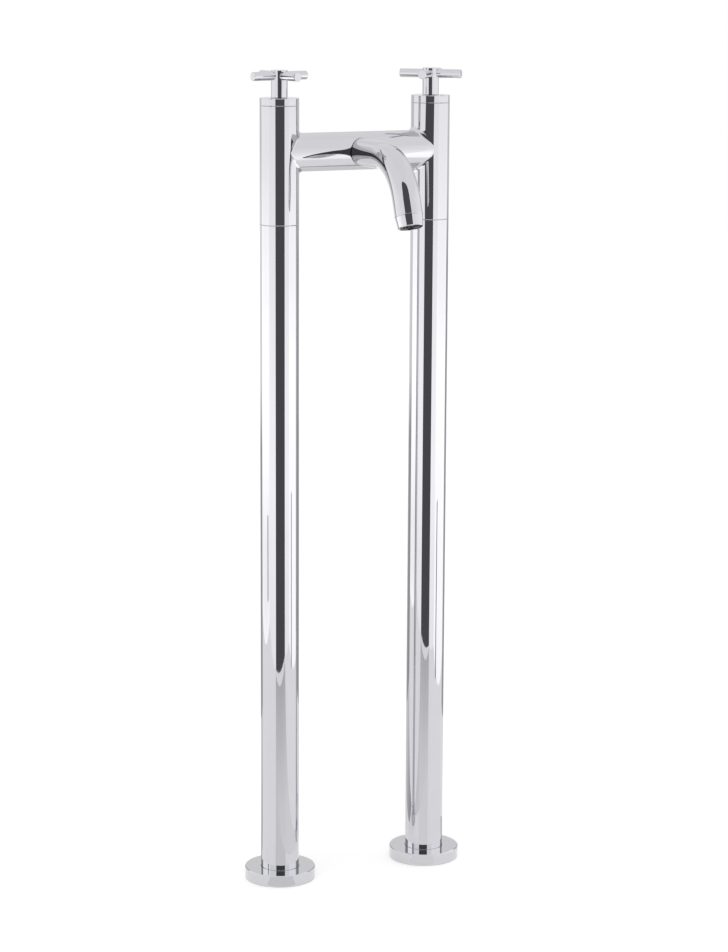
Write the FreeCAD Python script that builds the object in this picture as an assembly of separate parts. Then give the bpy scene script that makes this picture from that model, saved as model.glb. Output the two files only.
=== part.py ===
import FreeCAD, Part
import math
import os

# Floor standing bath filler: a mixing body on two floor mounted legs, with a curved
# spout between the legs and a cross handle on top of each one.
# Millimetres. +Z is up, the legs stand on the X axis and the spout points to -Y.
# The origin lies on the floor, midway between the two legs.

# ---- overall ----
leg_spacing = 180.0            # centre to centre, the usual spacing of bath tap tails
column_diameter = 42.7         # legs, upright arms of the body and caps
leg_height = 738.0             # floor to the seam between leg and body
body_height = 127.4            # seam below the body to seam below the cap
cap_height = 8.0
bar_rise = 76.6                # lower end of the body to the axis of the cross bar
bar_step = 0.55                # how far the bar's surface lies inside the columns'
bar_wall = 4.8
junction_radius = 5.0          # cast fillet where the bar runs into a column
seam_chamfer = 0.5             # edge break on both sides of a visible seam

# ---- fits ----
slip = 0.05                    # radial gap of parts that are pushed or screwed together
loose = 0.1                    # radial gap of parts that pass by each other
running = 0.05                 # radial gap of a turning shaft
disc_film = 0.02               # water film between the two ceramic discs

# ---- foot ----
cover_diameter = 79.0
cover_height = 13.5
cover_wall = 1.6
cover_clearance = 0.15
cover_edge_break = 0.6
plate_thickness = 6.0
plate_margin = 2.0             # gap between the floor plate and the cover's skirt
spigot_height = 12.0
spigot_wall = 1.8
screw_offset = 28.0            # leg axis to each floor screw
screw_hole_diameter = 5.5
screw_head_diameter = 10.4
cover_seal_width = 2.6
cover_seal_height = 2.0

# ---- leg ----
tube_wall = 1.5
pipe_diameter = 22.0
pipe_wall = 1.0
pipe_collar_height = 3.0
socket_wall = 3.95             # brass around the rising pipe
socket_thread_bore = 24.12     # core diameter of a 3/4 inch pipe thread
socket_thread_depth = 14.0
socket_land = 2.0              # rib between the thread and the pipe's seat
socket_grip = 14.0             # length of pipe inside the socket
socket_flange_height = 3.0
tail_diameter = 26.4           # outside of a 3/4 inch pipe thread
tail_bore = 18.0
tail_grip = 19.5               # thread inside the body
tail_drop = 40.0               # thread below the body
tail_runout = 0.5              # thread cut on past the tail's end
tail_washer_height = 2.0
nut_width = 30.0               # across flats
nut_lip = 3.0
nut_thread = 11.0
guide_height = 15.0
guide_gap = 0.6
guide_screw_diameter = 5.0
guide_screw_gap = 0.2          # gap between a screw's outer end and the tube

# ---- valve ----
seat_drop = 24.6               # axis of the cross bar down to the valve seat
waterway_diameter = 19.0
barrel_diameter = 23.6
barrel_bore = 18.16
barrel_depth = 25.8            # bottom of the barrel to the shoulder above the spindle
bonnet_thread_height = 16.0
bonnet_hex_width = 28.0
bonnet_hex_height = 5.5
gasket_height = 0.8
counterbore_diameter = 34.8
neck_diameter = 20.0
seat_washer_bore = 15.0
seat_washer_height = 2.0
disc_thickness = 3.5
disc_slip = 0.08               # radial gap of the ceramic discs in the barrel
disc_tab_width = 3.0
disc_tab_height = 1.4
disc_tab_inset = 0.5           # from the outside of the barrel
port_outer_radius = 7.2
port_inner_radius = 2.2
port_angle = 76.0
window_width = 12.0
window_height = 11.0
window_rise = 1.0              # top of the discs to the lower edge of a window
blade_width = 6.0
blade_engagement = 1.2         # depth of the spindle's blade in the turning disc
spindle_diameter = 10.0
spindle_head_gap = 0.48        # around the spindle's head, inside the barrel
spindle_head_height = 4.8
thrust_washer_height = 1.0
thrust_washer_clearance = 0.4  # around the spindle
axial_play = 0.2
seal_rises = (16.0, 25.0)      # above the barrel's shoulder
seal_height = 2.0
seal_depth = 1.6
seal_squeeze_gap = 0.08        # between a seal ring and the wall it slides on
clip_height = 0.8
clip_width = 2.2
clip_depth = 0.8
clip_mouth = 6.0
clip_room = 2.0                # bonnet's neck to the cap's top wall
cap_top_wall = 2.8
cap_hole_clearance = 1.2
cap_spigot_height = 1.5
cap_gap = 0.4                  # bonnet's hexagon to the cap's spigot

# ---- handle ----
hub_diameter = 18.0
hub_height = 29.2
hub_lift = 0.2                 # gap between hub and cap
arm_diameter = 9.5
arm_reach = 34.5               # handle axis to the flat end of an arm
arm_drop = 1.4                 # top of the hub to the top of an arm
edge_break = 0.4
drive_diameter = 8.0           # over the spindle's splines
drive_length = 22.0
spline_teeth = 20
spline_depth = 0.5
socket_end_gap = 0.3           # above the spindle, inside the hub
grub_rise = 7.5                # lower end of the hub to its grub screw
grub_diameter = 4.0
grub_inset = 0.5
grub_key_diameter = 2.0
grub_key_depth = 2.0
grub_angle = 45.0              # from an arm, seen from above
hot_handle_turn = 11.2         # rest position of the arms, counterclockwise from above
cold_handle_turn = 48.2

# ---- spout ----
spout_diameter = 30.0
spout_bore = 23.0
spout_run = 67.0               # bar axis to the start of the bend
bend_radius = 66.0
bend_angle = 70.0
spout_tail = 17.0              # end of the bend to the seam of the outlet collar
root_reveal = 0.6              # open line between the spout's skin and the bar
root_spigot_diameter = 26.0
root_spigot_depth = 8.8        # from the front of the bar inwards
root_spigot_overlap = 5.0      # from the front of the bar into the spout
collar_length = 12.0
outlet_diameter = 26.8
outlet_edge_break = 0.5
tip_spigot_diameter = 25.8
tip_spigot_length = 6.0
outlet_washer_height = 1.6
outlet_washer_width = 2.6
collar_step = 0.8              # collar's thread in to the flow straightener's seat
lip_height = 1.2
lip_width = 1.3                # how far the lip reaches under the flow straightener
cell_width = 3.2               # across flats of one honeycomb cell
cell_wall = 0.7
cell_rings = 2

# ---- places that follow from the sizes above ----
column_radius = column_diameter / 2
body_foot = leg_height
cap_seam = body_foot + body_height
cap_top = cap_seam + cap_height
bar_height = body_foot + bar_rise
bar_radius = column_radius - bar_step
bar_bore_radius = bar_radius - bar_wall
cap_under_top = cap_top - cap_top_wall
tube_bore_radius = column_radius - tube_wall
tail_radius = tail_diameter / 2
tail_end = body_foot - tail_drop
thread_bore_radius = tail_radius + slip
seat_height = bar_height - seat_drop
barrel_foot = seat_height + seat_washer_height
shoulder_height = barrel_foot + barrel_depth
neck_top = cap_under_top - clip_room
neck_foot = cap_seam - cap_spigot_height - cap_gap
hex_foot = neck_foot - bonnet_hex_height
gasket_seat = hex_foot - gasket_height
disc_radius = barrel_bore / 2 - disc_slip
turning_disc_foot = barrel_foot + disc_thickness + disc_film
turning_disc_top = turning_disc_foot + disc_thickness
spindle_radius = spindle_diameter / 2
spindle_head_radius = barrel_bore / 2 - spindle_head_gap
spindle_head_top = shoulder_height - thrust_washer_height - axial_play
hub_foot = cap_top + hub_lift
hub_top = hub_foot + hub_height
arm_height = hub_top - arm_drop - arm_diameter / 2
drive_foot = neck_top
drive_top = drive_foot + drive_length
clip_foot = neck_top + axial_play
pipe_radius = pipe_diameter / 2
pipe_foot = socket_thread_depth + socket_land
pipe_top = tail_end - tail_washer_height
tip_thread_radius = tip_spigot_diameter / 2
straightener_radius = tip_thread_radius - collar_step
straightener_foot = tip_spigot_length + outlet_washer_height
straightener_top = collar_length - lip_height

ORIGIN = FreeCAD.Vector(0, 0, 0)
UP = FreeCAD.Vector(0, 0, 1)
FRONT = FreeCAD.Vector(0, -1, 0)
RIGHT = FreeCAD.Vector(1, 0, 0)
TINY = 1e-4
PAST = 1.0                     # how far a cutting shape runs past what it cuts


# ---- shapes that repeat ----
def rod(radius, foot, top):
    """Upright round bar on the Z axis."""
    return Part.makeCylinder(radius, top - foot, FreeCAD.Vector(0, 0, foot), UP)


def ring(outer, inner, foot, top):
    return rod(outer, foot, top).cut(rod(inner, foot - PAST, top + PAST))


def turned(profile):
    """Solid turned about Z from a closed outline of (radius, height) corners."""
    corners = [FreeCAD.Vector(radius, 0, height) for radius, height in profile]
    outline = Part.makePolygon(corners + corners[:1])
    return Part.Face(outline).revolve(ORIGIN, UP, 360)


def prism(corners, foot, top):
    """Upright prism on a closed polygon of (x, y) corners."""
    points = [FreeCAD.Vector(x, y, foot) for x, y in corners]
    outline = Part.makePolygon(points + points[:1])
    return Part.Face(outline).extrude(FreeCAD.Vector(0, 0, top - foot))


def hexagon(width, centre=(0.0, 0.0)):
    """Corners of a hexagon, given across its flats."""
    corner_radius = width / math.sqrt(3)
    corners = []
    for step in range(6):
        angle = math.radians(60 * step + 30)
        x = centre[0] + corner_radius * math.cos(angle)
        y = centre[1] + corner_radius * math.sin(angle)
        corners.append((x, y))
    return corners


def splines(tip_radius, root_radius, teeth):
    """Corners of a serrated shaft."""
    corners = []
    for tooth in range(teeth):
        tip = 2 * math.pi * tooth / teeth
        root = tip + math.pi / teeth
        corners.append((tip_radius * math.cos(tip), tip_radius * math.sin(tip)))
        corners.append((root_radius * math.cos(root), root_radius * math.sin(root)))
    return corners


def block(width, depth, foot, top, x=0.0, y=0.0):
    """Box centred on (x, y)."""
    corner = FreeCAD.Vector(x - width / 2, y - depth / 2, foot)
    return Part.makeBox(width, depth, top - foot, corner)


def turn(shape, angle):
    """Copy of a shape, turned about Z."""
    copy = shape.copy()
    copy.rotate(ORIGIN, UP, angle)
    return copy


def joined(shapes):
    return shapes[0].multiFuse(shapes[1:]).removeSplitter()


def round_edges(shape, radius, height):
    """The circular edges of one radius at one height."""
    found = []
    for edge in shape.Edges:
        curve = edge.Curve
        if not isinstance(curve, Part.Circle):
            continue
        if abs(curve.Radius - radius) < TINY and abs(curve.Center.z - height) < TINY:
            found.append(edge)
    return found


def radial_rod(radius, start, end, height, angle):
    """Level round bar that points away from the Z axis."""
    direction = FreeCAD.Vector(math.cos(math.radians(angle)), math.sin(math.radians(angle)), 0)
    return Part.makeCylinder(radius, end - start, direction * start + UP * height, direction)


# ---- foot ----
def floor_plate():
    """Plate screwed to the floor, with a spigot that centres the leg."""
    plate_radius = cover_diameter / 2 - cover_wall - plate_margin
    spigot_radius = tube_bore_radius - slip
    spigot_top = plate_thickness + spigot_height
    plate = joined([rod(plate_radius, 0, plate_thickness), rod(spigot_radius, 0, spigot_top)])
    plate = plate.cut(rod(spigot_radius - spigot_wall, plate_thickness, spigot_top + PAST))
    plate = plate.cut(rod(pipe_radius + socket_wall + loose, -PAST, plate_thickness + PAST))
    head_radius = screw_head_diameter / 2
    hole_radius = screw_hole_diameter / 2
    head_depth = head_radius - hole_radius
    for side in (-1, 1):
        place = FreeCAD.Vector(0, side * screw_offset, 0)
        hole = Part.makeCylinder(hole_radius, plate_thickness + PAST, place, UP)
        rim = place + UP * (plate_thickness - head_depth)
        head = Part.makeCone(hole_radius, head_radius, head_depth, rim, UP)
        plate = plate.cut(hole).cut(head)
    return plate


def flange_cover():
    """Dished cover that slides down the leg over the floor plate."""
    outer = cover_diameter / 2
    hole = column_radius + cover_clearance
    cover = turned([
        (hole, cover_height - cover_wall),
        (outer - cover_wall, cover_height - cover_wall),
        (outer - cover_wall, 0),
        (outer, 0),
        (outer, cover_height),
        (hole, cover_height),
    ])
    cover = cover.makeChamfer(cover_edge_break, round_edges(cover, outer, cover_height))
    return cover.makeChamfer(seam_chamfer, round_edges(cover, hole, cover_height))


def cover_seal():
    """Rubber ring that grips the leg and holds the cover down."""
    inner = column_radius + slip
    top = cover_height - cover_wall
    return ring(inner + cover_seal_width, inner, top - cover_seal_height, top)


# ---- leg ----
def inlet_socket():
    """Brass end of the rising pipe; the supply screws into it from under the floor."""
    outer = pipe_radius + socket_wall
    top = pipe_foot + socket_grip
    flange = tube_bore_radius - slip - spigot_wall - slip
    socket = joined([
        rod(outer, 0, top),
        rod(flange, plate_thickness, plate_thickness + socket_flange_height),
    ])
    socket = socket.cut(rod(socket_thread_bore / 2, -PAST, socket_thread_depth))
    socket = socket.cut(rod(pipe_radius - pipe_wall, 0, pipe_foot + PAST))
    return socket.cut(rod(pipe_radius + slip, pipe_foot, top + PAST))


def supply_pipe():
    """Copper pipe up the leg, with a collar that the swivel nut draws up."""
    collar_radius = tail_radius - loose
    pipe = joined([
        rod(pipe_radius, pipe_foot, pipe_top),
        rod(collar_radius, pipe_top - pipe_collar_height, pipe_top),
    ])
    return pipe.cut(rod(pipe_radius - pipe_wall, pipe_foot - PAST, pipe_top + PAST))


def swivel_nut():
    collar_foot = pipe_top - pipe_collar_height
    foot = collar_foot - nut_lip
    top = tail_end + nut_thread
    nut = prism(hexagon(nut_width), foot, top)
    nut = nut.cut(rod(thread_bore_radius, collar_foot, top + PAST))
    return nut.cut(rod(pipe_radius + loose, foot - PAST, top))


def tail_washer():
    """Fibre washer between the pipe's collar and the tap tail."""
    return ring(tail_radius - loose, pipe_radius - pipe_wall, pipe_top, tail_end)


def tap_tail():
    """Threaded brass tail screwed up into the body."""
    return ring(tail_radius, tail_bore / 2, tail_end, body_foot + tail_grip)


def leg_tube():
    tube = ring(column_radius, tube_bore_radius, plate_thickness, leg_height)
    return tube.makeChamfer(seam_chamfer, round_edges(tube, column_radius, leg_height))


def leg_guide():
    """Ring locked on the tap tail that centres the top of the leg."""
    top = body_foot - guide_gap
    guide = ring(tube_bore_radius - slip, thread_bore_radius, top - guide_height, top)
    for angle in (90, 270):
        guide = guide.cut(guide_screw_hole(angle))
    return guide


def guide_screw_hole(angle):
    height = body_foot - guide_gap - guide_height / 2
    radius = guide_screw_diameter / 2
    return radial_rod(radius, tail_radius, column_radius, height, angle)


def guide_screws():
    """Two grub screws, tightened on the tail before the leg goes over."""
    height = body_foot - guide_gap - guide_height / 2
    radius = guide_screw_diameter / 2 - slip
    end = tube_bore_radius - guide_screw_gap
    screws = []
    for angle in (90, 270):
        screws.append(radial_rod(radius, tail_radius, end, height, angle))
    return Part.makeCompound(screws)


# ---- body ----
def mixer_body(hot_x, cold_x):
    """H-shaped casting: two upright arms and the cross bar that mixes hot and cold."""
    bar_end = FreeCAD.Vector(hot_x, 0, bar_height)
    casting = Part.makeCylinder(bar_radius, cold_x - hot_x, bar_end, RIGHT)
    for x in (hot_x, cold_x):
        upright = rod(column_radius, body_foot, cap_seam)
        upright.translate(RIGHT * x)
        casting = casting.fuse(upright)
    casting = casting.removeSplitter()
    casting = casting.makeFillet(junction_radius, junction_edges(casting, hot_x, cold_x))
    rims = round_edges(casting, column_radius, body_foot)
    rims += round_edges(casting, column_radius, cap_seam)
    casting = casting.makeChamfer(seam_chamfer, rims)
    for x in (hot_x, cold_x):
        waterway = body_waterway()
        waterway.translate(RIGHT * x)
        casting = casting.cut(waterway)
    core = Part.makeCylinder(bar_bore_radius, cold_x - hot_x, bar_end, RIGHT)
    spout_hole = Part.makeCylinder(
        root_spigot_diameter / 2 + slip, bar_radius + PAST, UP * bar_height, FRONT)
    return casting.cut(core).cut(spout_hole)


def junction_edges(casting, hot_x, cold_x):
    """The two saddle curves where the bar meets the uprights."""
    found = []
    for edge in casting.Edges:
        box = edge.BoundBox
        on_bar = box.ZMin > bar_height - column_radius and box.ZMax < bar_height + column_radius
        between = box.XMin > hot_x - TINY and box.XMax < cold_x + TINY
        if on_bar and between and box.YLength > bar_radius:
            found.append(edge)
    return found


def body_waterway():
    """Everything bored into one upright: tail thread, waterway, valve chamber, gasket seat."""
    return joined([
        rod(thread_bore_radius, body_foot - PAST, body_foot + tail_grip + tail_runout),
        rod(waterway_diameter / 2, body_foot, seat_height + PAST),
        rod(thread_bore_radius, seat_height, gasket_seat + PAST),
        rod(counterbore_diameter / 2, gasket_seat, cap_seam + PAST),
    ])


# ---- valve ----
def valve_bonnet():
    """Headwork: barrel with two windows, hexagon, and a neck for the cap and spindle."""
    bonnet = joined([
        rod(barrel_diameter / 2, barrel_foot, hex_foot),
        rod(tail_radius, hex_foot - bonnet_thread_height, hex_foot),
        prism(hexagon(bonnet_hex_width), hex_foot, neck_foot),
        rod(neck_diameter / 2, neck_foot, neck_top),
    ])
    bonnet = bonnet.cut(rod(barrel_bore / 2, barrel_foot - PAST, shoulder_height))
    bonnet = bonnet.cut(rod(spindle_radius + running, barrel_foot, neck_top + PAST))
    across = barrel_diameter + 2 * PAST
    window_foot = turning_disc_top + window_rise
    window = block(across, window_width, window_foot, window_foot + window_height)
    notch_width = disc_tab_width + loose
    notch = block(notch_width, across, barrel_foot - PAST, barrel_foot + disc_tab_height)
    return bonnet.cut(window).cut(notch)


def bonnet_gasket():
    return ring(counterbore_diameter / 2 - slip, tail_radius + loose, gasket_seat, hex_foot)


def seat_washer():
    """Rubber ring between the barrel and the valve seat."""
    return ring(barrel_diameter / 2, seat_washer_bore / 2, seat_height, barrel_foot)


def ports(foot, top, angle):
    """Two opposite sector holes."""
    shapes = []
    for start in (angle - port_angle / 2, angle + 180 - port_angle / 2):
        sector = Part.makeCylinder(
            port_outer_radius, top - foot, FreeCAD.Vector(0, 0, foot), UP, port_angle)
        shapes.append(turn(sector, start))
    return shapes[0].fuse(shapes[1]).cut(rod(port_inner_radius, foot - PAST, top + PAST))


def fixed_disc():
    """Ceramic disc keyed into the end of the barrel."""
    top = barrel_foot + disc_thickness
    tab_span = barrel_diameter - 2 * disc_tab_inset
    tabs = block(disc_tab_width, tab_span, barrel_foot, barrel_foot + disc_tab_height - slip)
    disc = joined([rod(disc_radius, barrel_foot, top), tabs])
    return disc.cut(ports(barrel_foot - PAST, top + PAST, 0))


def turning_disc():
    """Ceramic disc that the spindle turns; its ports stand across the fixed ones when shut."""
    disc = rod(disc_radius, turning_disc_foot, turning_disc_top)
    disc = disc.cut(ports(turning_disc_foot - PAST, turning_disc_top + PAST, 90))
    slot_foot = turning_disc_top - blade_engagement
    slot = block(barrel_diameter, blade_width + loose, slot_foot, turning_disc_top + PAST)
    return disc.cut(slot)


def spindle():
    """Blade, head, shaft with two seal grooves and a clip groove, and splined end."""
    blade_foot = turning_disc_top - blade_engagement + disc_film
    head_foot = spindle_head_top - spindle_head_height
    blade = rod(spindle_head_radius, blade_foot, head_foot)
    blade = blade.common(block(barrel_diameter, blade_width, blade_foot, head_foot))
    drive = splines(drive_diameter / 2, drive_diameter / 2 - spline_depth, spline_teeth)
    clip_groove_top = clip_foot + clip_height
    shaft = joined([
        blade,
        rod(spindle_head_radius, head_foot, spindle_head_top),
        rod(spindle_radius, spindle_head_top, neck_top),
        rod(spindle_radius - clip_depth, neck_top, clip_groove_top),
        prism(drive, clip_groove_top, drive_top),
    ])
    for rise in seal_rises:
        groove_foot = shoulder_height + rise
        groove_top = groove_foot + seal_height
        groove = ring(spindle_radius + PAST, spindle_radius - seal_depth, groove_foot, groove_top)
        shaft = shaft.cut(groove)
    return shaft


def spindle_seals():
    outer = spindle_radius + running - seal_squeeze_gap
    inner = spindle_radius - seal_depth + slip
    rings = []
    for rise in seal_rises:
        foot = shoulder_height + rise + slip
        rings.append(ring(outer, inner, foot, foot + seal_height - loose))
    return Part.makeCompound(rings)


def thrust_washer():
    """Low friction washer between the spindle's head and the barrel's shoulder."""
    inner = spindle_radius + thrust_washer_clearance
    outer = barrel_bore / 2 - slip
    return ring(outer, inner, shoulder_height - thrust_washer_height, shoulder_height)


def spindle_clip():
    """Spring clip that keeps the spindle from dropping."""
    inner = spindle_radius - clip_depth + slip
    clip = ring(inner + clip_width, inner, clip_foot, clip_foot + clip_height - slip)
    mouth = block(spindle_diameter, clip_mouth, clip_foot - PAST, clip_foot + clip_height, spindle_radius)
    return clip.cut(mouth)


def cap_ring():
    """Cap screwed onto the bonnet's neck; it closes the top of the upright."""
    spigot = counterbore_diameter / 2 - slip
    thread = neck_diameter / 2 + slip
    hole = drive_diameter / 2 + cap_hole_clearance
    cap = turned([
        (thread, cap_seam - cap_spigot_height),
        (spigot, cap_seam - cap_spigot_height),
        (spigot, cap_seam),
        (column_radius, cap_seam),
        (column_radius, cap_top),
        (hole, cap_top),
        (hole, cap_under_top),
        (thread, cap_under_top),
    ])
    rims = round_edges(cap, column_radius, cap_seam) + round_edges(cap, column_radius, cap_top)
    return cap.makeChamfer(seam_chamfer, rims)


# ---- handle ----
def handle(rest_turn):
    """Cross handle: round hub with four round arms cut off square."""
    hub = rod(hub_diameter / 2, hub_foot, hub_top)
    rims = round_edges(hub, hub_diameter / 2, hub_top) + round_edges(hub, hub_diameter / 2, hub_foot)
    hub = hub.makeChamfer(edge_break, rims)
    for angle in (0, 90, 180, 270):
        hub = hub.fuse(handle_arm(rest_turn + angle))
    hub = hub.removeSplitter()
    drive_bore = splines(
        drive_diameter / 2 + slip, drive_diameter / 2 - spline_depth + slip, spline_teeth)
    hub = hub.cut(prism(drive_bore, hub_foot - PAST, drive_top + socket_end_gap))
    return hub.cut(grub_rod(grub_diameter / 2, 0, hub_diameter, rest_turn))


def handle_arm(angle):
    arm = Part.makeCylinder(arm_diameter / 2, arm_reach, UP * arm_height, RIGHT)
    end = [edge for edge in arm.Edges if edge.BoundBox.XMin > arm_reach - TINY]
    arm = arm.makeChamfer(edge_break, end)
    return turn(arm, angle)


def grub_rod(radius, start, end, rest_turn):
    """Level bar in the grub screw's place, between two arms at the back of the hub."""
    return radial_rod(radius, start, end, hub_foot + grub_rise, rest_turn + grub_angle)


def handle_screw(rest_turn):
    """Grub screw in the back of the hub, tightened on the splines."""
    start = drive_diameter / 2 + slip
    end = hub_diameter / 2 - grub_inset
    screw = grub_rod(grub_diameter / 2 - slip, start, end, rest_turn)
    key = grub_rod(grub_key_diameter / 2, end - grub_key_depth, end + PAST, rest_turn)
    return screw.cut(key)


# ---- spout ----
def spout_frame(length_after_bend):
    """Place and direction on the spout's centre line beyond the bend."""
    angle = math.radians(bend_angle)
    direction = FreeCAD.Vector(0, -math.cos(angle), -math.sin(angle))
    reach = spout_run + bend_radius * math.sin(angle)
    drop = bend_radius * (1 - math.cos(angle))
    bend_end = FreeCAD.Vector(0, -reach, bar_height - drop)
    return bend_end + direction * length_after_bend, direction


def spout_core(radius, root, tail):
    """Round bar along the spout's centre line: straight, bend, straight."""
    start = FreeCAD.Vector(0, -root, bar_height)
    run = Part.makeCylinder(radius, spout_run - root, start, FRONT)
    bend_start = FreeCAD.Vector(0, -spout_run, bar_height)
    section = Part.Face(Part.Wire(Part.makeCircle(radius, bend_start, FRONT)))
    bend = section.revolve(bend_start - UP * bend_radius, RIGHT, bend_angle)
    bend_end, direction = spout_frame(0)
    end = Part.makeCylinder(radius, tail, bend_end, direction)
    return run.fuse(bend).fuse(end)


def spout():
    """Curved spout, coped to the bar, with a spigot at each end; the root's is brazed in."""
    bar_end = FreeCAD.Vector(-spout_diameter, 0, bar_height)
    bar = Part.makeCylinder(bar_radius + root_reveal, 2 * spout_diameter, bar_end, RIGHT)
    skin = spout_core(spout_diameter / 2, PAST, spout_tail).cut(bar)
    seam, direction = spout_frame(spout_tail)
    rim = [edge for edge in skin.Edges if is_circle_at(edge, spout_diameter / 2, seam)]
    skin = skin.makeChamfer(seam_chamfer, rim)
    spigot_start = FRONT * (bar_radius - root_spigot_depth) + UP * bar_height
    spigot_length = root_spigot_depth + root_spigot_overlap
    root_spigot = Part.makeCylinder(root_spigot_diameter / 2, spigot_length, spigot_start, FRONT)
    tip_spigot = Part.makeCylinder(tip_thread_radius, tip_spigot_length, seam, direction)
    solid = skin.fuse(root_spigot).fuse(tip_spigot)
    return solid.cut(spout_core(spout_bore / 2, PAST, spout_tail + tip_spigot_length + PAST))


def is_circle_at(edge, radius, centre):
    curve = edge.Curve
    if not isinstance(curve, Part.Circle):
        return False
    return abs(curve.Radius - radius) < TINY and curve.Center.distanceToPoint(centre) < TINY


def on_spout_tip(shape):
    """Move a piece modelled on Z, from the seam at 0, to the end of the spout."""
    seam, direction = spout_frame(spout_tail)
    shape.Placement = FreeCAD.Placement(seam, FreeCAD.Rotation(UP, direction))
    return shape


def outlet_collar():
    """Tapered collar screwed on the spout; its lip holds the flow straightener."""
    thread = tip_thread_radius + slip
    cavity = straightener_radius + slip
    collar = turned([
        (thread, 0),
        (spout_diameter / 2, 0),
        (outlet_diameter / 2, collar_length),
        (straightener_radius - lip_width, collar_length),
        (straightener_radius - lip_width, straightener_top),
        (cavity, straightener_top),
        (cavity, straightener_foot - outlet_washer_height + slip),
        (thread, straightener_foot - outlet_washer_height + slip),
    ])
    tip = round_edges(collar, outlet_diameter / 2, collar_length)
    collar = collar.makeChamfer(outlet_edge_break, tip)
    collar = collar.makeChamfer(seam_chamfer, round_edges(collar, spout_diameter / 2, 0))
    return on_spout_tip(collar)


def outlet_washer():
    washer = ring(
        straightener_radius, straightener_radius - outlet_washer_width,
        tip_spigot_length + slip, straightener_foot)
    return on_spout_tip(washer)


def flow_straightener():
    """Round plastic insert with honeycomb cells."""
    insert = rod(straightener_radius, straightener_foot, straightener_top)
    pitch = cell_width + cell_wall
    cells = []
    for row in range(-cell_rings, cell_rings + 1):
        for column in range(-cell_rings, cell_rings + 1):
            if abs(row + column) > cell_rings:
                continue
            x = pitch * (column + row / 2)
            y = pitch * row * math.sqrt(3) / 2
            cell = hexagon(cell_width, (x, y))
            cells.append(prism(cell, straightener_foot - PAST, straightener_top + PAST))
    return on_spout_tip(insert.cut(Part.makeCompound(cells)))


# ---- the whole filler ----
leg_and_valve_pieces = {
    "floor_plate": floor_plate,
    "flange_cover": flange_cover,
    "cover_seal": cover_seal,
    "inlet_socket": inlet_socket,
    "supply_pipe": supply_pipe,
    "swivel_nut": swivel_nut,
    "tail_washer": tail_washer,
    "tap_tail": tap_tail,
    "leg_tube": leg_tube,
    "leg_guide": leg_guide,
    "guide_screws": guide_screws,
    "valve_bonnet": valve_bonnet,
    "bonnet_gasket": bonnet_gasket,
    "seat_washer": seat_washer,
    "fixed_disc": fixed_disc,
    "thrust_washer": thrust_washer,
    "cap_ring": cap_ring,
    "turning_disc": turning_disc,
    "spindle": spindle,
    "spindle_seals": spindle_seals,
    "spindle_clip": spindle_clip,
}
handle_pieces = {
    "handle": handle,
    "handle_screw": handle_screw,
}
shared_pieces = {
    "spout": spout,
    "outlet_collar": outlet_collar,
    "outlet_washer": outlet_washer,
    "flow_straightener": flow_straightener,
}


def build():
    hot_x = -leg_spacing / 2
    cold_x = leg_spacing / 2
    nodes = {"mixer_body": mixer_body(hot_x, cold_x)}
    for name, make in shared_pieces.items():
        nodes[name] = make()
    for side, x, handle_turn in (("hot", hot_x, hot_handle_turn), ("cold", cold_x, cold_handle_turn)):
        for name, make in leg_and_valve_pieces.items():
            shape = make()
            shape.translate(RIGHT * x)
            nodes[side + "_" + name] = shape
        for name, make in handle_pieces.items():
            shape = make(handle_turn)
            shape.translate(RIGHT * x)
            nodes[side + "_" + name] = shape
    return nodes


os.makedirs("parts", exist_ok=True)
for node, shape in build().items():
    shape.exportStep("parts/" + node + ".step")
    state = "valid" if shape.isValid() else "INVALID"
    print(node, len(shape.Solids), "solid", round(shape.Volume), "mm3", state)
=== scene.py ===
import math

import bmesh
import bpy
from mathutils import Matrix, Vector


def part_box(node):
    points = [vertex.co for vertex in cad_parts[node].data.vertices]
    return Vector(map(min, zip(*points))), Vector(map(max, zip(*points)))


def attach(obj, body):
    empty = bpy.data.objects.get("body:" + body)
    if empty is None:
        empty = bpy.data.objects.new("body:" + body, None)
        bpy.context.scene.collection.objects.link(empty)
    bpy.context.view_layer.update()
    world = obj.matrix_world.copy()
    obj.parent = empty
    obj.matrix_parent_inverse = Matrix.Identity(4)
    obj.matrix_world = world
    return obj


# Floor standing bath filler, dressed for its studio picture.
# Metres, in the frame of the CAD part: +Z is up and the spout points to -Y.
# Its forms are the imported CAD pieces, which get their finishes here, and four fine seam beads.

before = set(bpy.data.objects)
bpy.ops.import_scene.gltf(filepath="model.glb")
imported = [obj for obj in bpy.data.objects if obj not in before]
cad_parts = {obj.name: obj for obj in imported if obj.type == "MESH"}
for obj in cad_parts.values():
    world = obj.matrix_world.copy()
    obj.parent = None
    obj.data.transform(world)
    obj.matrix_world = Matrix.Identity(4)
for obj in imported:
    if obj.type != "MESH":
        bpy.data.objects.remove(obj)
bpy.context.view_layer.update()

MM = 0.001
SIDES = ("hot", "cold")

# ---- sizes of the part that its finishes and its trim follow ----
FIXED_BODY = "filler"
BAR_RISE = 76.6 * MM         # lower end of the mixer body to the axis of its cross bar
BAR_RADIUS = 20.8 * MM
ROOT_SHADE_WIDTH = 1.9 * MM         # width of the painted shade line where the spout meets the bar
BEAD_PROUD = 0.28 * MM       # how far a seam's bead stands out of the column
BEAD_HEIGHT = 0.8 * MM
BEAD_DEPTH = 0.4 * MM        # how deep the bead sits in the column
BEAD_STEPS = 128
MERGE_GAP = 0.001 * MM       # corners closer than this are one corner

# ---- camera, worked out from the photograph ----
CAMERA_PLACE = (-1.2457, -2.7231, 1.0394)
CAMERA_YAW = -24.79          # degrees about Z, from looking along +Y
CAMERA_DOWN = 11.06          # degrees below level
CAMERA_ROLL = 0.29           # degrees about the line of sight
CAMERA_LENS = 103.68         # mm, for the long side of the picture
CAMERA_SENSOR = 36.0         # mm
CAMERA_NEAR = 0.05           # nothing nearer than this is drawn
CAMERA_FAR = 100.0           # and nothing farther than this

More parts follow.
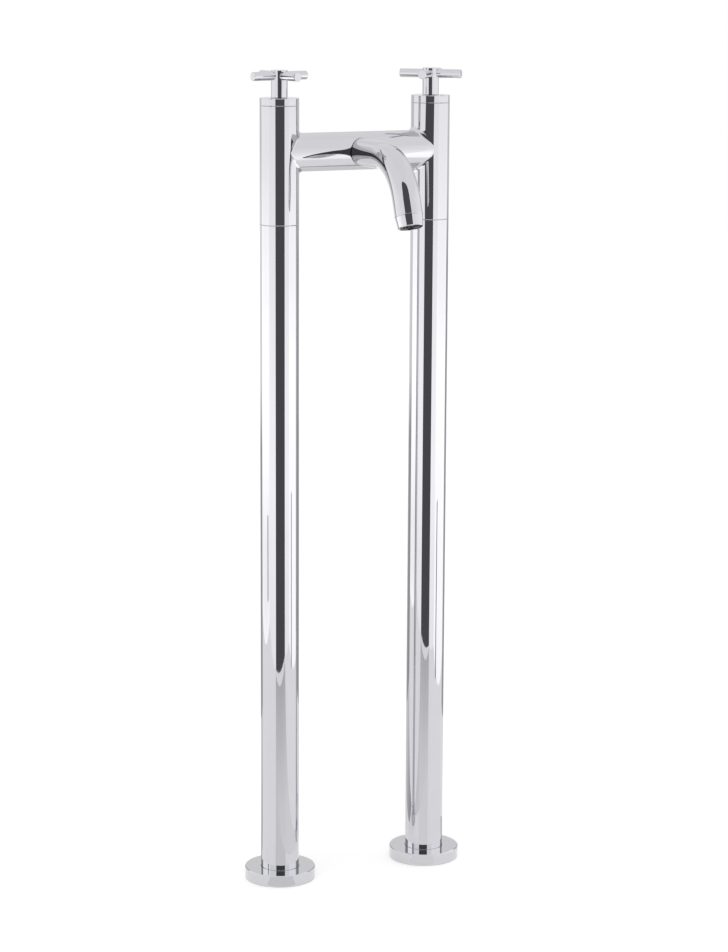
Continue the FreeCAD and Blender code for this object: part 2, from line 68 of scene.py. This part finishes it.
# ---- studio: a white tent with a dark opening for the camera ----
# Places in the tent are (across, ahead): metres to the camera's right, and towards the camera.
TENT_TURN = -24.6            # degrees from -Y to the camera's side
OPENING_LEFT = -0.43
OPENING_RIGHT = 0.445
OPENING_AHEAD = 0.96
OPENING_BOW = 1.8            # radius of the opening's curve, seen from above
OPENING_HEIGHT = 1.95
OPENING_ARCH = 0.36          # radius of its upper corners
OPENING_STEPS = 32
OPENING_COLOUR = "FAF8FF"    # the dark room is slightly blue
WALL_LEFT = -1.15
WALL_RIGHT = 0.85
WALL_CORNER_AHEAD = 0.62     # where a side wall meets a front wall
WALL_END_AHEAD = -0.95       # where a side wall ends, behind the part
WALL_HEIGHT = 2.6
REAR_WALL_LEFT = ((-0.68, -0.38), (-0.22, -0.62))
REAR_WALL_RIGHT = ((0.22, -0.62), (0.62, -0.42))
REAR_WALL_HEIGHT = 1.1
BACKDROP_AHEAD = -3.0
BACKDROP_REACH = 1.6         # from its middle to either end
BACKDROP_LOW = 0.5
BACKDROP_HIGH = 3.0
LAMP_STAND_LEFT = ((-0.79, 0.22), (-0.77, 0.28))
LAMP_STAND_RIGHT = ((0.80, 0.33), (0.84, 0.27))
LAMP_STAND_FOOT = 0.15       # lower end of the left stand; the right one stands on the floor
LAMP_STAND_LEFT_TOP = 0.27
LAMP_STAND_RIGHT_TOP = 0.26
FLOOR_RADIUS = 7.0
FLOOR_STEPS = 96

# Patches where the floor is greyer, a hair above it so that the chrome mirrors them.
SHADE_HEIGHT = 1 * MM
BAR_SHADE_HEIGHT = 0.5 * MM  # the wide patch lies under the others
SHADE_AHEAD = 0.88           # far edge of the patches between the legs and the opening
SHADE_GAP = 0.045            # from a leg's axis to the near edge of its patch
SHADE_BEHIND_HOT_LEG = ((-0.13, 0.0), (-0.68, -0.38), (-0.22, -0.62), (-0.06, -0.05))
SHADE_BEHIND_COLD_LEG = ((0.119, -0.063), (0.213, -0.129), (0.137, -0.187), (0.097, -0.079))
SHADE_BEHIND_BAR = ((-0.1, -0.12), (-0.8, -2.9), (0.9, -2.9), (0.45, -0.51), (0.14, -0.05))

# Brightness, chosen to match what the chrome shows; 1 is white.
LEVEL_DARK_ROOM = 0.1
LEVEL_LAMP_STAND = 0.12
LEVEL_WHITE = 1.0
LEVEL_WORLD = 0.5            # light from all round that falls on the part
LEVEL_PAPER_LIFT = 0.33      # added to the lit paper where it is looked at

# Each cloth of the walls, as (metres above the floor, brightness).
WALL_LEVELS = {
    "front_cloth": (
        (0.0, 1.25), (0.1, 1.3), (0.25, 1.42), (0.38, 1.4), (0.6, 1.28), (0.85, 1.15), (1.3, 1.03)),
    "left_cloth": (
        (0.0, 1.5), (0.06, 1.38), (0.15, 1.4), (0.3, 1.68), (0.45, 1.65), (0.53, 1.58),
        (0.63, 1.45), (0.72, 1.27), (0.9, 1.18), (1.3, 1.03)),
    "right_cloth": (
        (0.0, 1.5), (0.45, 1.66), (0.55, 1.5), (0.66, 1.42), (0.76, 1.29), (0.9, 1.2), (1.3, 1.03)),
    "rear_left_cloth": (
        (0.0, 0.42), (0.37, 0.42), (0.46, 0.9), (0.68, 0.92), (0.78, 0.78), (1.1, 0.82)),
    "rear_right_cloth": ((0.0, 0.42), (0.62, 0.42), (0.72, 0.72), (1.1, 0.8)),
    "backdrop_cloth": ((0.5, 0.84), (3.0, 0.9)),
}
# Each patch of the floor, as (metres ahead, brightness), from its far end to the camera's.
FLOOR_LEVELS = {
    "floor_before_hot_leg": ((0.0, 0.86), (0.4, 0.84), (0.6, 0.76), (0.75, 0.69), (0.96, 0.6)),
    "floor_before_cold_leg": (
        (0.0, 0.97), (0.25, 0.95), (0.45, 0.86), (0.6, 0.76), (0.75, 0.69), (0.96, 0.6)),
    "floor_behind_legs": ((-0.6, 0.8), (-0.3, 0.76), (-0.15, 0.6), (-0.05, 0.45), (0.1, 0.42)),
    "floor_behind_bar": ((-2.9, 0.7), (-1.3, 0.76), (-0.65, 0.86), (-0.3, 0.92), (0.0, 0.98)),
}
# Each lamp's place in the part's frame, its strength, and its spread in degrees.
STUDIO_LAMPS = {
    "key_lamp": ((-1.5, -1.4, 3.0), 0.7, 60),
    "fill_lamp": ((1.6, 0.4, 2.8), 0.4, 80),
}

# ---- nodes ----
# A mix node's sockets go by number, because their names repeat.
MIX_FACTOR = 0
NUMBER_A = 2
NUMBER_B = 3
COLOUR_A = 6
COLOUR_B = 7
MIXED_NUMBER = 0
MIXED_COLOUR = 2
# Most of what a noise texture gives lies between these two.
NOISE_LOW = 0.3
NOISE_HIGH = 0.7
# What a surface is, apart from its colour, gloss and relief. A metal keeps the default IOR.
METAL = {"Metallic": 1.0}
NOT_METAL = {"Metallic": 0.0, "IOR": 1.5}


def linear(hex_colour):
    """An sRGB hex colour as linear red, green, blue and alpha, by the curve that defines sRGB."""
    channels = []
    for start in (0, 2, 4):
        value = int(hex_colour[start:start + 2], 16) / 255
        if value <= 0.04045:
            channels.append(value / 12.92)
        else:
            channels.append(((value + 0.055) / 1.055) ** 2.4)
    return (*channels, 1.0)


def add_node(tree, kind, settings=None, sockets=None):
    """Adds a node; a socket, by name or number, gets a value or a link from another node."""
    node = tree.nodes.new(kind)
    for name, value in (settings or {}).items():
        setattr(node, name, value)
    for name, value in (sockets or {}).items():
        if isinstance(value, bpy.types.NodeSocket):
            tree.links.new(value, node.inputs[name])
        else:
            node.inputs[name].default_value = value
    return node


def start_material(name):
    """An empty node material: the material, its tree and the place on the surface."""
    material = bpy.data.materials.new(name)
    material.use_nodes = True
    tree = material.node_tree
    tree.nodes.clear()
    place = add_node(tree, "ShaderNodeTexCoord").outputs["Object"]
    return material, tree, place


def end_material(tree, surface):
    """Gives the finished surface to the material."""
    add_node(tree, "ShaderNodeOutputMaterial", None, {"Surface": surface})


def end_mottled(tree, kind, mottle, light, dark, smooth, rough, relief, strength, depth):
    """Ends a material whose mottle takes it from light and smooth to dark and rough.
    Relief is the texture that raises the surface, by up to depth."""
    colour = add_node(tree, "ShaderNodeMix", {"data_type": "RGBA"}, {
        MIX_FACTOR: mottle, COLOUR_A: linear(light), COLOUR_B: linear(dark)}).outputs[MIXED_COLOUR]
    gloss = add_node(tree, "ShaderNodeMapRange", None, {
        "Value": mottle, "From Min": NOISE_LOW, "From Max": NOISE_HIGH,
        "To Min": smooth, "To Max": rough}).outputs["Result"]
    bumps = add_node(tree, "ShaderNodeBump", None, {
        "Height": relief, "Strength": strength, "Distance": depth}).outputs["Normal"]
    shader = add_node(tree, "ShaderNodeBsdfPrincipled", None, {
        **kind, "Base Color": colour, "Roughness": gloss, "Normal": bumps})
    end_material(tree, shader.outputs["BSDF"])


# ---- metals ----
def painted_joint_shade(tree, place, colour, gloss):
    """Painted shade: turns chrome dark and dull in the fine joint round the spout's root, standing
    in for the shadow in the gap there.
    The joint is a line of one width along the bar, so it goes by the distance from its axis."""
    bar_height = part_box("mixer_body")[0][2] + BAR_RISE
    from_axis = add_node(tree, "ShaderNodeVectorMath", {"operation": "MULTIPLY_ADD"}, {
        0: place, 1: (0.0, 1.0, 1.0), 2: (0.0, 0.0, -bar_height)}).outputs["Vector"]
    distance = add_node(tree, "ShaderNodeVectorMath", {"operation": "LENGTH"}, {
        0: from_axis}).outputs["Value"]
    in_painted_shade = add_node(tree, "ShaderNodeMath", {"operation": "LESS_THAN"}, {
        0: distance, 1: BAR_RADIUS + ROOT_SHADE_WIDTH}).outputs["Value"]
    # Painted shade: the colour and gloss of the shadow in the gap round the spout's root.
    dark = add_node(tree, "ShaderNodeMix", {"data_type": "RGBA"}, {
        MIX_FACTOR: in_painted_shade, COLOUR_A: colour, COLOUR_B: linear("2A2A2E")}).outputs[MIXED_COLOUR]
    dull = add_node(tree, "ShaderNodeMix", {"data_type": "FLOAT"}, {
        MIX_FACTOR: in_painted_shade, NUMBER_A: gloss, NUMBER_B: 0.6}).outputs[MIXED_NUMBER]
    return dark, dull


def mirror_chrome(name="mirror_chrome_plating", painted_root_shade=False):
    """Bright chrome plating on polished brass: a clear and faintly blue mirror.
    Wiping leaves hazes about 30 mm wide, and polishing leaves the metal very slightly wavy."""
    material, tree, place = start_material(name)
    haze = add_node(tree, "ShaderNodeTexNoise", None, {
        "Vector": place, "Scale": 1 / (30 * MM), "Detail": 3.0, "Roughness": 0.55}).outputs["Fac"]
    waves = add_node(tree, "ShaderNodeTexNoise", None, {
        "Vector": place, "Scale": 1 / (24 * MM), "Detail": 1.0, "Roughness": 0.3}).outputs["Fac"]
    colour = add_node(tree, "ShaderNodeMix", {"data_type": "RGBA"}, {
        MIX_FACTOR: haze, COLOUR_A: linear("CBCBD0"),
        COLOUR_B: linear("CFCFD3")}).outputs[MIXED_COLOUR]
    gloss = add_node(tree, "ShaderNodeMapRange", None, {
        "Value": haze, "From Min": NOISE_LOW, "From Max": NOISE_HIGH,
        "To Min": 0.012, "To Max": 0.04}).outputs["Result"]
    # Painted shade in the gap round the spout's root.
    if painted_root_shade:
        colour, gloss = painted_joint_shade(tree, place, colour, gloss)
    wavy = add_node(tree, "ShaderNodeBump", None, {
        "Height": waves, "Strength": 1.0, "Distance": 0.008 * MM}).outputs["Normal"]
    shader = add_node(tree, "ShaderNodeBsdfPrincipled", None, {
        **METAL, "Base Color": colour, "Roughness": gloss, "Normal": wavy})
    end_material(tree, shader.outputs["BSDF"])
    return material


def spout_chrome_with_painted_shade():
    """The same plating, with a painted shade line where the spout meets the bar."""
    return mirror_chrome("spout_painted_shade_chrome_plating", painted_root_shade=True)


def turned(name, light, dark):
    """Turned metal with fine rings left by the tool, and stains about 9 mm wide."""
    material, tree, place = start_material(name)
    stains = add_node(tree, "ShaderNodeTexNoise", None, {
        "Vector": place, "Scale": 1 / (9 * MM), "Detail": 4.0, "Roughness": 0.55}).outputs["Fac"]
    # The tool leaves rings 0.15 mm apart; these are 0.4 mm apart, so that they can be seen.
    # A wave texture makes one ring in each 2 pi / 20 of its scaled length.
    rings = add_node(tree, "ShaderNodeTexWave", {"bands_direction": "Z"}, {
        "Vector": place, "Scale": 2 * math.pi / 20 / (0.4 * MM), "Distortion": 0.6,
        "Detail": 2.0}).outputs["Fac"]
    end_mottled(tree, METAL, mottle=stains, light=light, dark=dark, smooth=0.22, rough=0.36,
                relief=rings, strength=0.5, depth=0.01 * MM)
    return material


def machined_brass():
    """Turned free-cutting brass: warm yellow metal."""
    return turned("machined_brass", light="C7A352", dark="B38B3E")


def nickel_plated_brass():
    """Nickel plating on a turned spindle: a slightly warm and silky grey."""
    return turned("nickel_plated_brass", light="B4AFA4", dark="9E998F")


def drawn_copper():
    """Hard drawn copper pipe: reddish metal dulled by handling, with faint lines along the draw."""
    material, tree, place = start_material("drawn_copper")
    tarnish = add_node(tree, "ShaderNodeTexNoise", None, {
        "Vector": place, "Scale": 1 / (14 * MM), "Detail": 4.0, "Roughness": 0.6}).outputs["Fac"]
    # The lines are about 0.8 mm wide, and 50 times as long.
    drawn = add_node(tree, "ShaderNodeMapping", None, {
        "Vector": place, "Scale": (1.0, 1.0, 0.02)}).outputs["Vector"]
    lines = add_node(tree, "ShaderNodeTexNoise", None, {
        "Vector": drawn, "Scale": 1 / (0.8 * MM), "Detail": 1.0}).outputs["Fac"]
    end_mottled(tree, METAL, mottle=tarnish, light="C98462", dark="A8643F", smooth=0.25, rough=0.45,
                relief=lines, strength=0.4, depth=0.02 * MM)
    return material


def steel(name, light, dark, smooth, rough, grain_size):
    """Steel whose plating or grinding marks, grain_size wide, mottle its colour and gloss."""
    material, tree, place = start_material(name)
    grain = add_node(tree, "ShaderNodeTexNoise", None, {
        "Vector": place, "Scale": 1 / grain_size, "Detail": 4.0, "Roughness": 0.6}).outputs["Fac"]
    end_mottled(tree, METAL, mottle=grain, light=light, dark=dark, smooth=smooth, rough=rough,
                relief=grain, strength=0.4, depth=0.01 * MM)
    return material


def zinc_plating():
    """Bright zinc plating on steel: cool grey with the cloudy patches that the bath leaves."""
    return steel("zinc_plating", light="A9ACB2", dark="8D9198", smooth=0.3, rough=0.48,
                 grain_size=5 * MM)


def machined_steel():
    """Hardened grub screw steel under oil: dark grey with a fine ground texture."""
    return steel("machined_steel", light="7B7E83", dark="5F6267", smooth=0.28, rough=0.42,
                 grain_size=1.2 * MM)


def bright_spring_steel():
    """Bright rolled spring strip: light grey and smooth, with slight rolling marks."""
    return steel("bright_spring_steel", light="9A9B9E", dark="808185", smooth=0.2, rough=0.3,
                 grain_size=0.8 * MM)


# ---- rubber, fibre, ceramic and plastic ----
def moulded(name, light, dark, smooth, rough, grain_size, relief_depth):
    """A piece that isn't metal, with grain grain_size wide and relief_depth deep."""
    material, tree, place = start_material(name)
    grain = add_node(tree, "ShaderNodeTexNoise", None, {
        "Vector": place, "Scale": 1 / grain_size, "Detail": 4.0, "Roughness": 0.55}).outputs["Fac"]
    end_mottled(tree, NOT_METAL, mottle=grain, light=light, dark=dark, smooth=smooth, rough=rough,
                relief=grain, strength=0.5, depth=relief_depth)
    return material


def nitrile_rubber():
    """Moulded seal rubber: nearly black and dull, with a trace of grey bloom."""
    return moulded("nitrile_rubber", light="26262A", dark="323236", smooth=0.55, rough=0.75,
                   grain_size=2 * MM, relief_depth=0.01 * MM)


def pressed_fibre():
    """Red vulcanised fibre: flat brick red, with pressed fibres about 0.6 mm long."""
    return moulded("pressed_fibre", light="8C3A2C", dark="74301F", smooth=0.6, rough=0.8,
                   grain_size=0.6 * MM, relief_depth=0.02 * MM)


def lapped_ceramic():
    """Alumina lapped flat: clean off-white with a soft sheen."""
    return moulded("lapped_ceramic", light="F3F1EC", dark="E8E5DD", smooth=0.16, rough=0.26,
                   grain_size=3 * MM, relief_depth=0.002 * MM)


def white_acetal():
    """Moulded low friction acetal: milky white with a soft gloss."""
    return moulded("white_acetal", light="EFEEE9", dark="E2E1DB", smooth=0.32, rough=0.42,
                   grain_size=4 * MM, relief_depth=0.005 * MM)


def grey_abs():
    """Moulded ABS of the flow straightener: dark grey and satin, with a fine spark grain."""
    return moulded("grey_abs", light="3C3D41", dark="2E2F33", smooth=0.38, rough=0.5,
                   grain_size=0.35 * MM, relief_depth=0.01 * MM)


# ---- which finish each CAD piece has, by the record's material slots ----
FINISH_OF_SLOT = {
    "chrome_plate": mirror_chrome,
    "zinc_plated_steel": zinc_plating,
    "steel_screw": machined_steel,
    "spring_steel": bright_spring_steel,
    "cast_brass": machined_brass,
    "copper_pipe": drawn_copper,
    "rubber_seal": nitrile_rubber,
    "fibre_washer": pressed_fibre,
    "ceramic_disc": lapped_ceramic,
    "white_acetal": white_acetal,
    "grey_plastic": grey_abs,
}

# Pieces that the hot and the cold side both have.
SLOT_OF_SIDE_PIECE = {
    "floor_plate": "zinc_plated_steel",
    "flange_cover": "chrome_plate",
    "cover_seal": "rubber_seal",
    "inlet_socket": "cast_brass",
    "supply_pipe": "copper_pipe",
    "swivel_nut": "cast_brass",
    "tail_washer": "fibre_washer",
    "tap_tail": "cast_brass",
    "leg_tube": "chrome_plate",
    "leg_guide": "cast_brass",
    "guide_screws": "steel_screw",
    "valve_bonnet": "cast_brass",
    "bonnet_gasket": "rubber_seal",
    "seat_washer": "rubber_seal",
    "fixed_disc": "ceramic_disc",
    "thrust_washer": "white_acetal",
    "cap_ring": "chrome_plate",
    "turning_disc": "ceramic_disc",
    "spindle": "cast_brass",
    "spindle_seals": "rubber_seal",
    "spindle_clip": "spring_steel",
    "handle": "chrome_plate",
    "handle_screw": "steel_screw",
}
SLOT_OF_SHARED_PIECE = {
    "mixer_body": "chrome_plate",
    "spout": "chrome_plate",
    "outlet_collar": "chrome_plate",
    "outlet_washer": "rubber_seal",
    "flow_straightener": "grey_plastic",
}


def dress_cad_pieces():
    """Gives every CAD piece its finish, on all its faces, and returns the columns' chrome."""
    slots = dict(SLOT_OF_SHARED_PIECE)
    for side in SIDES:
        for piece, slot in SLOT_OF_SIDE_PIECE.items():
            slots[f"{side}_{piece}"] = slot
    finishes = {slot: make() for slot, make in FINISH_OF_SLOT.items()}
    finish_of_node = {node: finishes[slot] for node, slot in slots.items()}
    # The spout's chrome has painted shade along its root.
    finish_of_node["spout"] = spout_chrome_with_painted_shade()
    # The spindles have the slot of brass, and are nickel plated.
    spindle_finish = nickel_plated_brass()
    for side in SIDES:
        finish_of_node[f"{side}_spindle"] = spindle_finish
    for node, finish in finish_of_node.items():
        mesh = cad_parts[node].data
        mesh.materials.clear()
        mesh.materials.append(finish)
    return finishes["chrome_plate"]


# ---- trim too fine for the CAD pieces ----
def seam_bead(side, seam, height, chrome):
    """Bright lip of a seam, a fine ridge round the column that shows as a light line."""
    low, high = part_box(f"{side}_leg_tube")
    radius = (high[0] - low[0]) / 2
    inner = radius - BEAD_DEPTH
    outline = ((inner, 0.0), (radius + BEAD_PROUD, 0.0), (inner, BEAD_HEIGHT))
    shape = bmesh.new()
    corners = [shape.verts.new((out, 0.0, up)) for out, up in outline]
    edges = [shape.edges.new((corners[index - 1], corners[index])) for index in range(len(corners))]
    bmesh.ops.spin(shape, geom=corners + edges, cent=(0, 0, 0), axis=(0, 0, 1),
                   angle=2 * math.pi, steps=BEAD_STEPS, use_merge=True)
    bmesh.ops.remove_doubles(shape, verts=shape.verts, dist=MERGE_GAP)
    bmesh.ops.recalc_face_normals(shape, faces=shape.faces)
    centre = ((low[0] + high[0]) / 2, (low[1] + high[1]) / 2, height)
    bmesh.ops.translate(shape, vec=centre, verts=shape.verts)
    name = f"{side}_{seam}_seam_bead"
    mesh = bpy.data.meshes.new(name)
    shape.to_mesh(mesh)
    shape.free()
    mesh.materials.append(chrome)
    bead = bpy.data.objects.new(name, mesh)
    bpy.context.scene.collection.objects.link(bead)
    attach(bead, FIXED_BODY)


def seam_beads(chrome):
    """A bead where each leg meets the mixer body, and one where the body meets each cap."""
    body_low, body_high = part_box("mixer_body")
    for side in SIDES:
        seam_bead(side, "leg", body_low[2], chrome)
        seam_bead(side, "cap", body_high[2], chrome)


# ---- studio materials ----
def looked_at(tree):
    """1 where the camera, a mirror or glass looks, 0 for light that falls on a dull surface."""
    path = add_node(tree, "ShaderNodeLightPath").outputs
    mirrored = add_node(tree, "ShaderNodeMath", {"operation": "MAXIMUM"}, {
        0: path["Is Glossy Ray"], 1: path["Is Transmission Ray"]}).outputs["Value"]
    return add_node(tree, "ShaderNodeMath", {"operation": "MAXIMUM"}, {
        0: path["Is Camera Ray"], 1: mirrored}).outputs["Value"]


def white_world():
    """White background, and a plain level of soft light from all round."""
    world = bpy.data.worlds.new("white_world")
    world.use_nodes = True
    tree = world.node_tree
    tree.nodes.clear()
    strength = add_node(tree, "ShaderNodeMapRange", None, {
        "Value": looked_at(tree), "To Min": LEVEL_WORLD, "To Max": LEVEL_WHITE})
    background = add_node(tree, "ShaderNodeBackground", None, {
        "Color": linear("FFFFFF"), "Strength": strength.outputs["Result"]})
    add_node(tree, "ShaderNodeOutputWorld", None, {"Surface": background.outputs["Background"]})
    bpy.context.scene.world = world


def white_paper():
    """Matt white background paper, lifted to plain white where it is looked at.
    It keeps the soft shadow at the feet."""
    material, tree, place = start_material("white_paper")
    fibres = add_node(tree, "ShaderNodeTexNoise", None, {
        "Vector": place, "Scale": 1 / (2 * MM), "Detail": 3.0}).outputs["Fac"]
    colour = add_node(tree, "ShaderNodeMix", {"data_type": "RGBA"}, {
        MIX_FACTOR: fibres, COLOUR_A: linear("F3F3F3"),
        COLOUR_B: linear("F6F6F6")}).outputs[MIXED_COLOUR]
    paper = add_node(tree, "ShaderNodeBsdfPrincipled", None, {
        "Base Color": colour, "Roughness": 0.9, "Specular IOR Level": 0.2})
    lift = add_node(tree, "ShaderNodeMapRange", None, {
        "Value": looked_at(tree), "To Min": 0.0, "To Max": LEVEL_PAPER_LIFT})
    glow = add_node(tree, "ShaderNodeEmission", None, {
        "Color": linear("FFFFFF"), "Strength": lift.outputs["Result"]})
    both = add_node(tree, "ShaderNodeAddShader", None, {
        0: paper.outputs["BSDF"], 1: glow.outputs["Emission"]})
    end_material(tree, both.outputs["Shader"])
    return material


def lit_cloth(name, levels, axis=(0.0, 0.0, 1.0), colour="FFFFFF"):
    """Cloth lit from behind; levels are (metres along axis, brightness), in rising order."""
    material, tree, place = start_material(name)
    along = add_node(tree, "ShaderNodeVectorMath", {"operation": "DOT_PRODUCT"}, {
        0: place, 1: axis}).outputs["Value"]
    start = levels[0][0]
    end = levels[-1][0]
    share = add_node(tree, "ShaderNodeMapRange", None, {
        "Value": along, "From Min": start, "From Max": end}).outputs["Result"]
    ramp = add_node(tree, "ShaderNodeValToRGB", None, {"Fac": share})
    brightest = max(level for _, level in levels)
    tint = linear(colour)
    stops = ramp.color_ramp.elements
    while len(stops) < len(levels):
        stops.new(1.0)
    for stop, (metres, level) in zip(stops, levels):
        stop.position = (metres - start) / (end - start)
        grey = level / brightest
        stop.color = (grey * tint[0], grey * tint[1], grey * tint[2], 1.0)
    glow = add_node(tree, "ShaderNodeEmission", None, {
        "Color": ramp.outputs["Color"], "Strength": brightest})
    end_material(tree, glow.outputs["Emission"])
    return material


# ---- studio pieces ----
def studio_piece(name, shape, material):
    """Turns a bmesh made in tent places into a piece of the studio."""
    turn = Matrix.Rotation(math.radians(TENT_TURN), 3, "Z")
    bmesh.ops.rotate(shape, cent=(0, 0, 0), matrix=turn, verts=shape.verts)
    mesh = bpy.data.meshes.new(name)
    shape.to_mesh(mesh)
    shape.free()
    mesh.materials.append(material)
    piece = bpy.data.objects.new(name, mesh)
    bpy.context.scene.collection.objects.link(piece)
    return piece


def show_in_mirrors_only(piece):
    """Keeps a piece out of the picture and out of the light; only the chrome shows it."""
    piece.visible_camera = False
    piece.visible_diffuse = False
    piece.visible_shadow = False
    piece.visible_transmission = False


def wall(name, path, low, high, material):
    """Upright cloth over a line of places on the floor."""
    shape = bmesh.new()
    foot = [shape.verts.new((across, -ahead, low)) for across, ahead in path]
    edges = [shape.edges.new(pair) for pair in zip(foot, foot[1:])]
    raised = bmesh.ops.extrude_edge_only(shape, edges=edges)["geom"]
    upper = [item for item in raised if isinstance(item, bmesh.types.BMVert)]
    bmesh.ops.translate(shape, vec=(0, 0, high - low), verts=upper)
    show_in_mirrors_only(studio_piece(name, shape, material))


def floor_shade(name, corners, height, material):
    """Patch of the floor that gets less light, for the chrome to mirror."""
    shape = bmesh.new()
    shape.faces.new([shape.verts.new((across, -ahead, height)) for across, ahead in corners])
    show_in_mirrors_only(studio_piece(name, shape, material))


def opening_ahead(across):
    """How far ahead the bowed opening is, at a place across it."""
    return OPENING_AHEAD - OPENING_BOW + math.sqrt(OPENING_BOW ** 2 - across ** 2)


def camera_opening():
    """Dark, bowed opening with an arched top: the dark stripe that every upright mirrors."""
    shape = bmesh.new()
    bmesh.ops.create_grid(shape, x_segments=OPENING_STEPS, y_segments=1, size=0.5)
    for vert in shape.verts:
        across = OPENING_LEFT + (vert.co.x + 0.5) * (OPENING_RIGHT - OPENING_LEFT)
        inset = min(across - OPENING_LEFT, OPENING_RIGHT - across, OPENING_ARCH)
        drop = OPENING_ARCH - math.sqrt(OPENING_ARCH ** 2 - (OPENING_ARCH - inset) ** 2)
        height = OPENING_HEIGHT - drop if vert.co.y > 0 else 0.0
        vert.co = (across, -opening_ahead(across), height)
    levels = ((0.0, LEVEL_DARK_ROOM), (OPENING_HEIGHT, LEVEL_DARK_ROOM))
    dark_room = lit_cloth("dark_room", levels, colour=OPENING_COLOUR)
    show_in_mirrors_only(studio_piece("camera_opening", shape, dark_room))


def white_tent():
    """What the chrome mirrors: bright cloth near the floor, greyer behind, dark at the camera."""
    camera_opening()
    cloths = {name: lit_cloth(name, levels) for name, levels in WALL_LEVELS.items()}
    left_end = (WALL_LEFT, WALL_END_AHEAD)
    left_corner = (WALL_LEFT, WALL_CORNER_AHEAD)
    right_corner = (WALL_RIGHT, WALL_CORNER_AHEAD)
    right_end = (WALL_RIGHT, WALL_END_AHEAD)
    opening_left = (OPENING_LEFT, opening_ahead(OPENING_LEFT))
    opening_right = (OPENING_RIGHT, opening_ahead(OPENING_RIGHT))
    wall("front_wall_left", (left_corner, opening_left), 0.0, WALL_HEIGHT, cloths["front_cloth"])
    wall("front_wall_right", (opening_right, right_corner), 0.0, WALL_HEIGHT, cloths["front_cloth"])
    wall("side_wall_left", (left_end, left_corner), 0.0, WALL_HEIGHT, cloths["left_cloth"])
    wall("side_wall_right", (right_corner, right_end), 0.0, WALL_HEIGHT, cloths["right_cloth"])
    wall("rear_wall_left", REAR_WALL_LEFT, 0.0, REAR_WALL_HEIGHT, cloths["rear_left_cloth"])
    wall("rear_wall_right", REAR_WALL_RIGHT, 0.0, REAR_WALL_HEIGHT, cloths["rear_right_cloth"])
    backdrop = ((-BACKDROP_REACH, BACKDROP_AHEAD), (BACKDROP_REACH, BACKDROP_AHEAD))
    wall("backdrop", backdrop, BACKDROP_LOW, BACKDROP_HIGH, cloths["backdrop_cloth"])


def lamp_stands():
    """Two small dark stands, which the flanges and the lower legs mirror."""
    levels = ((0.0, LEVEL_LAMP_STAND), (LAMP_STAND_LEFT_TOP, LEVEL_LAMP_STAND))
    stand = lit_cloth("lamp_stand", levels)
    wall("lamp_stand_right", LAMP_STAND_RIGHT, 0.0, LAMP_STAND_RIGHT_TOP, stand)
    wall("lamp_stand_left", LAMP_STAND_LEFT, LAMP_STAND_FOOT, LAMP_STAND_LEFT_TOP, stand)


def leg_place(side):
    """The axis of a leg as a place in the tent, to the millimetre."""
    low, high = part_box(f"{side}_leg_tube")
    turn_back = Matrix.Rotation(math.radians(-TENT_TURN), 3, "Z")
    axis = turn_back @ Vector(((low[0] + high[0]) / 2, (low[1] + high[1]) / 2, 0.0))
    return Vector((round(axis.x, 3), round(-axis.y, 3)))


def floor_shades():
    """The floor is greyer in front of the dark opening and behind the legs."""
    turn = math.radians(TENT_TURN)
    ahead_axis = (math.sin(turn), -math.cos(turn), 0.0)
    papers = {name: lit_cloth(name, levels, ahead_axis) for name, levels in FLOOR_LEVELS.items()}
    far_left = Vector((OPENING_LEFT, SHADE_AHEAD))
    far_right = Vector((OPENING_RIGHT, SHADE_AHEAD))
    for side in SIDES:
        name = f"floor_before_{side}_leg"
        leg = leg_place(side)
        near_left = leg + (far_left - leg).normalized() * SHADE_GAP
        near_right = leg + (far_right - leg).normalized() * SHADE_GAP
        floor_shade(name, (near_left, near_right, far_right, far_left), SHADE_HEIGHT, papers[name])
    behind_legs = papers["floor_behind_legs"]
    floor_shade("floor_behind_hot_leg", SHADE_BEHIND_HOT_LEG, SHADE_HEIGHT, behind_legs)
    floor_shade("floor_behind_cold_leg", SHADE_BEHIND_COLD_LEG, SHADE_HEIGHT, behind_legs)
    floor_shade("floor_behind_bar", SHADE_BEHIND_BAR, BAR_SHADE_HEIGHT, papers["floor_behind_bar"])


def paper_floor():
    """Wide round floor of white paper."""
    shape = bmesh.new()
    bmesh.ops.create_circle(shape, cap_ends=True, segments=FLOOR_STEPS, radius=FLOOR_RADIUS)
    studio_piece("paper_floor", shape, white_paper())


def soft_sun(name, place, strength, spread):
    """Far, wide lamp, for even light on the floor; the chrome doesn't mirror it."""
    data = bpy.data.lights.new(name, "SUN")
    data.energy = strength
    data.angle = math.radians(spread)
    lamp = bpy.data.objects.new(name, data)
    bpy.context.scene.collection.objects.link(lamp)
    lamp.location = place
    lamp.rotation_euler = (-Vector(place)).to_track_quat("-Z", "Y").to_euler()
    lamp.visible_camera = False
    lamp.visible_glossy = False


def studio_lamps():
    """Key lamp from the left front, and fill lamp from the right."""
    for name, (place, strength, spread) in STUDIO_LAMPS.items():
        soft_sun(name, place, strength, spread)


def photo_camera():
    """Camera at the photograph's place, angle and lens."""
    data = bpy.data.cameras.new("photo_camera")
    data.sensor_width = CAMERA_SENSOR
    data.lens = CAMERA_LENS
    data.clip_start = CAMERA_NEAR
    data.clip_end = CAMERA_FAR
    camera = bpy.data.objects.new("photo_camera", data)
    bpy.context.scene.collection.objects.link(camera)
    yaw = Matrix.Rotation(math.radians(CAMERA_YAW), 4, "Z")
    tilt = Matrix.Rotation(math.radians(90.0 - CAMERA_DOWN), 4, "X")
    roll = Matrix.Rotation(math.radians(CAMERA_ROLL), 4, "Z")
    camera.matrix_world = Matrix.Translation(CAMERA_PLACE) @ yaw @ tilt @ roll
    bpy.context.scene.camera = camera


column_chrome = dress_cad_pieces()
seam_beads(column_chrome)
photo_camera()
white_world()
paper_floor()
white_tent()
lamp_stands()
floor_shades()
studio_lamps()
bpy.context.scene.view_settings.view_transform = "Standard"
